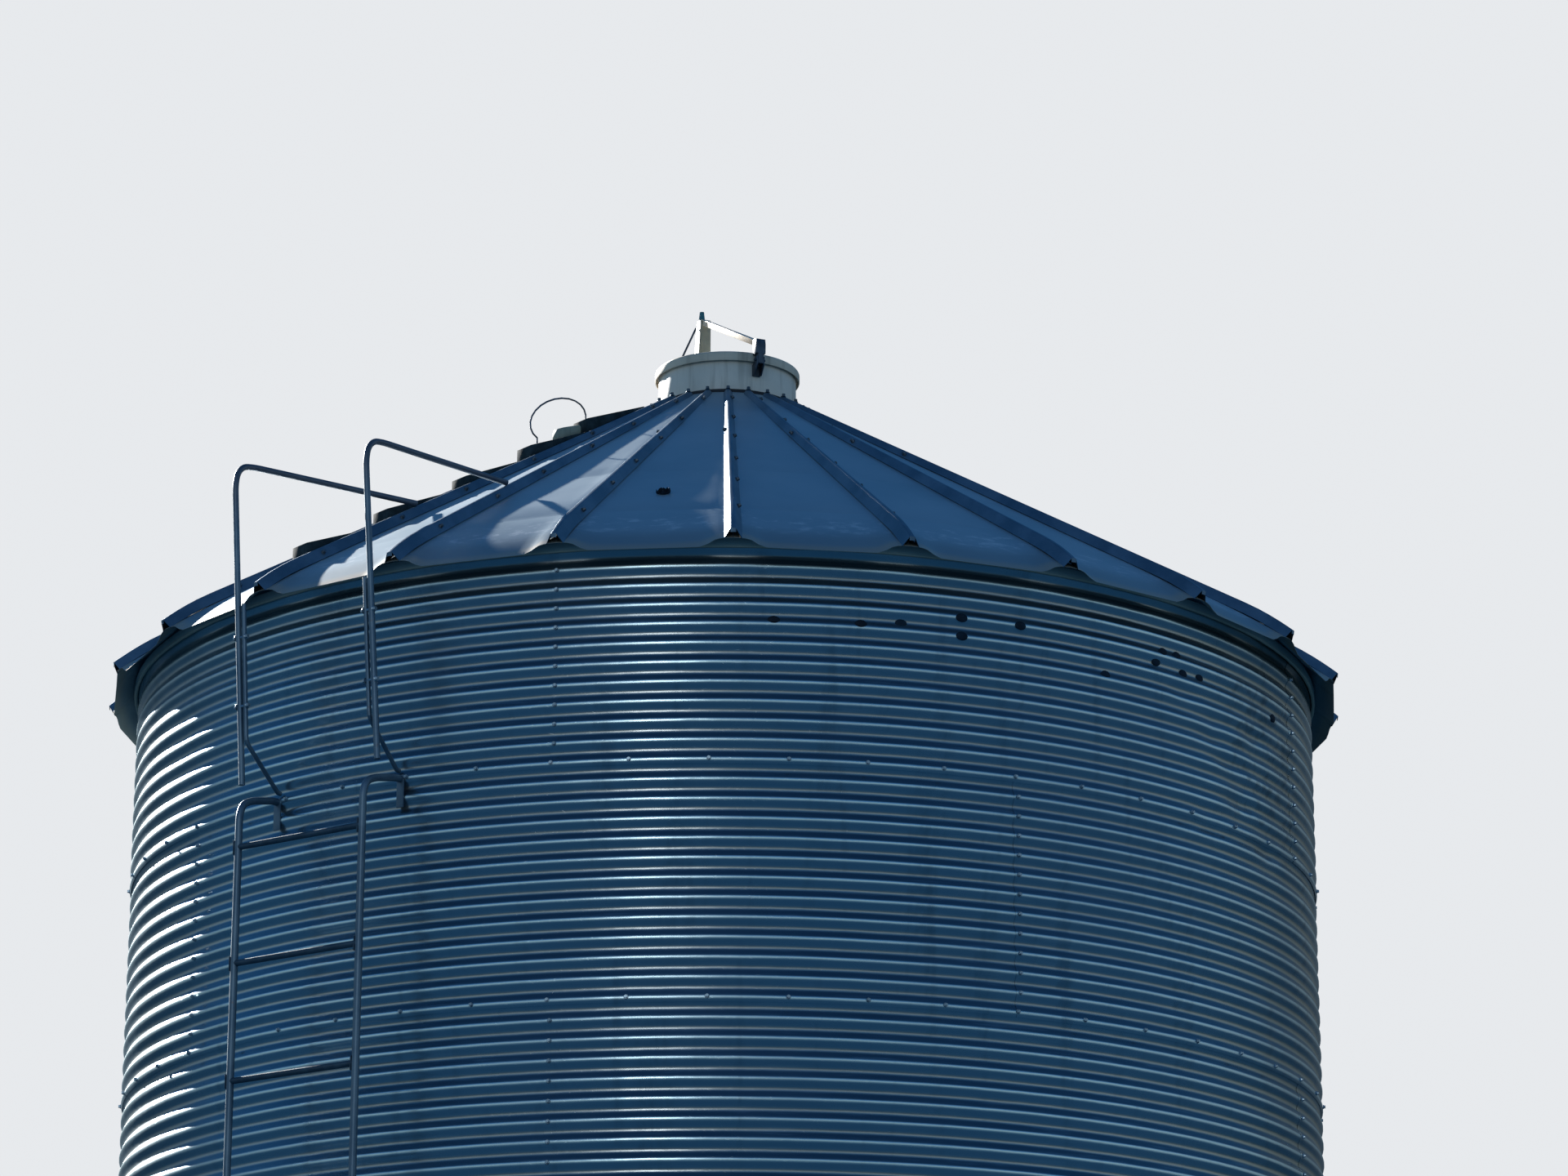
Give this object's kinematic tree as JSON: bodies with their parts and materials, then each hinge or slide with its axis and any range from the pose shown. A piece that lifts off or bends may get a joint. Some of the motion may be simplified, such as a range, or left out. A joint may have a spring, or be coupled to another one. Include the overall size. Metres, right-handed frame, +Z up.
{
  "type": "grain silo",
  "caption": "Round bin of bolted corrugated steel sheets with a ribbed cone roof, a hinged lid over its filling collar, and a wall ladder with grab rails.",
  "frame": {"origin": "centre of the wall's foot, on the floor", "axes": "+Z up along the silo's axis; -Y towards the side that is looked at, with the ladder left of it"},
  "size_m": [4.702, 4.702, 8.1507],
  "materials": {
    "sheet": "galvanised corrugated sheet, dull and weathered",
    "roof": "galvanised flat sheet, dull, with stains",
    "dark": "weathered dark steel",
    "beige": "faded beige paint on steel",
    "tube": "dull zinc-coated tube and bar"
  },
  "bodies": {
    "silo": {"base_angle": "sheet", "eave_band": "sheet", "fill_collar": "beige", "grab_rail_left": "tube", "grab_rail_right": "tube", "hinge_bracket": "dark", "hinge_pin": "dark", "ladder_lower": "tube", "ladder_upper": "tube", "peak_ring": "roof", "roof_sector_1": "roof", "roof_sector_2": "roof", "roof_sector_3": "roof", "roof_sector_4": "roof", "roof_sector_5": "roof", "roof_sector_6": "roof", "roof_step_1": "roof", "roof_step_2": "roof", "roof_step_3": "roof", "roof_step_4": "roof", "roof_step_5": "roof", "step_block": "beige", "step_hoop": "dark", "wall_ring_1_a": "sheet", "wall_ring_1_b": "sheet", "wall_ring_2_a": "sheet", "wall_ring_2_b": "sheet", "wall_ring_3_a": "sheet", "wall_ring_3_b": "sheet", "wall_ring_4_a": "sheet", "wall_ring_4_b": "sheet", "wall_ring_5_a": "sheet", "wall_ring_5_b": "sheet", "wall_ring_6_a": "sheet", "wall_ring_6_b": "sheet", "wall_ring_7_a": "sheet", "wall_ring_7_b": "sheet", "wall_ring_8_a": "sheet", "wall_ring_8_b": "sheet"},
    "lid": {"fill_lid": "beige", "lid_post": "beige", "lid_gusset": "beige", "lid_arm": "beige", "lid_strut": "dark", "lid_knob": "dark", "lid_clevis": "dark"}
  },
  "joints": [
    {"name": "lid_hinge", "type": "hinge", "parent": "silo", "child": "lid", "pos_m": [0.12082, -0.27787, 7.78537], "axis": [0.9171, 0.3987, 0], "range_deg": [0, 105]}
  ]
}
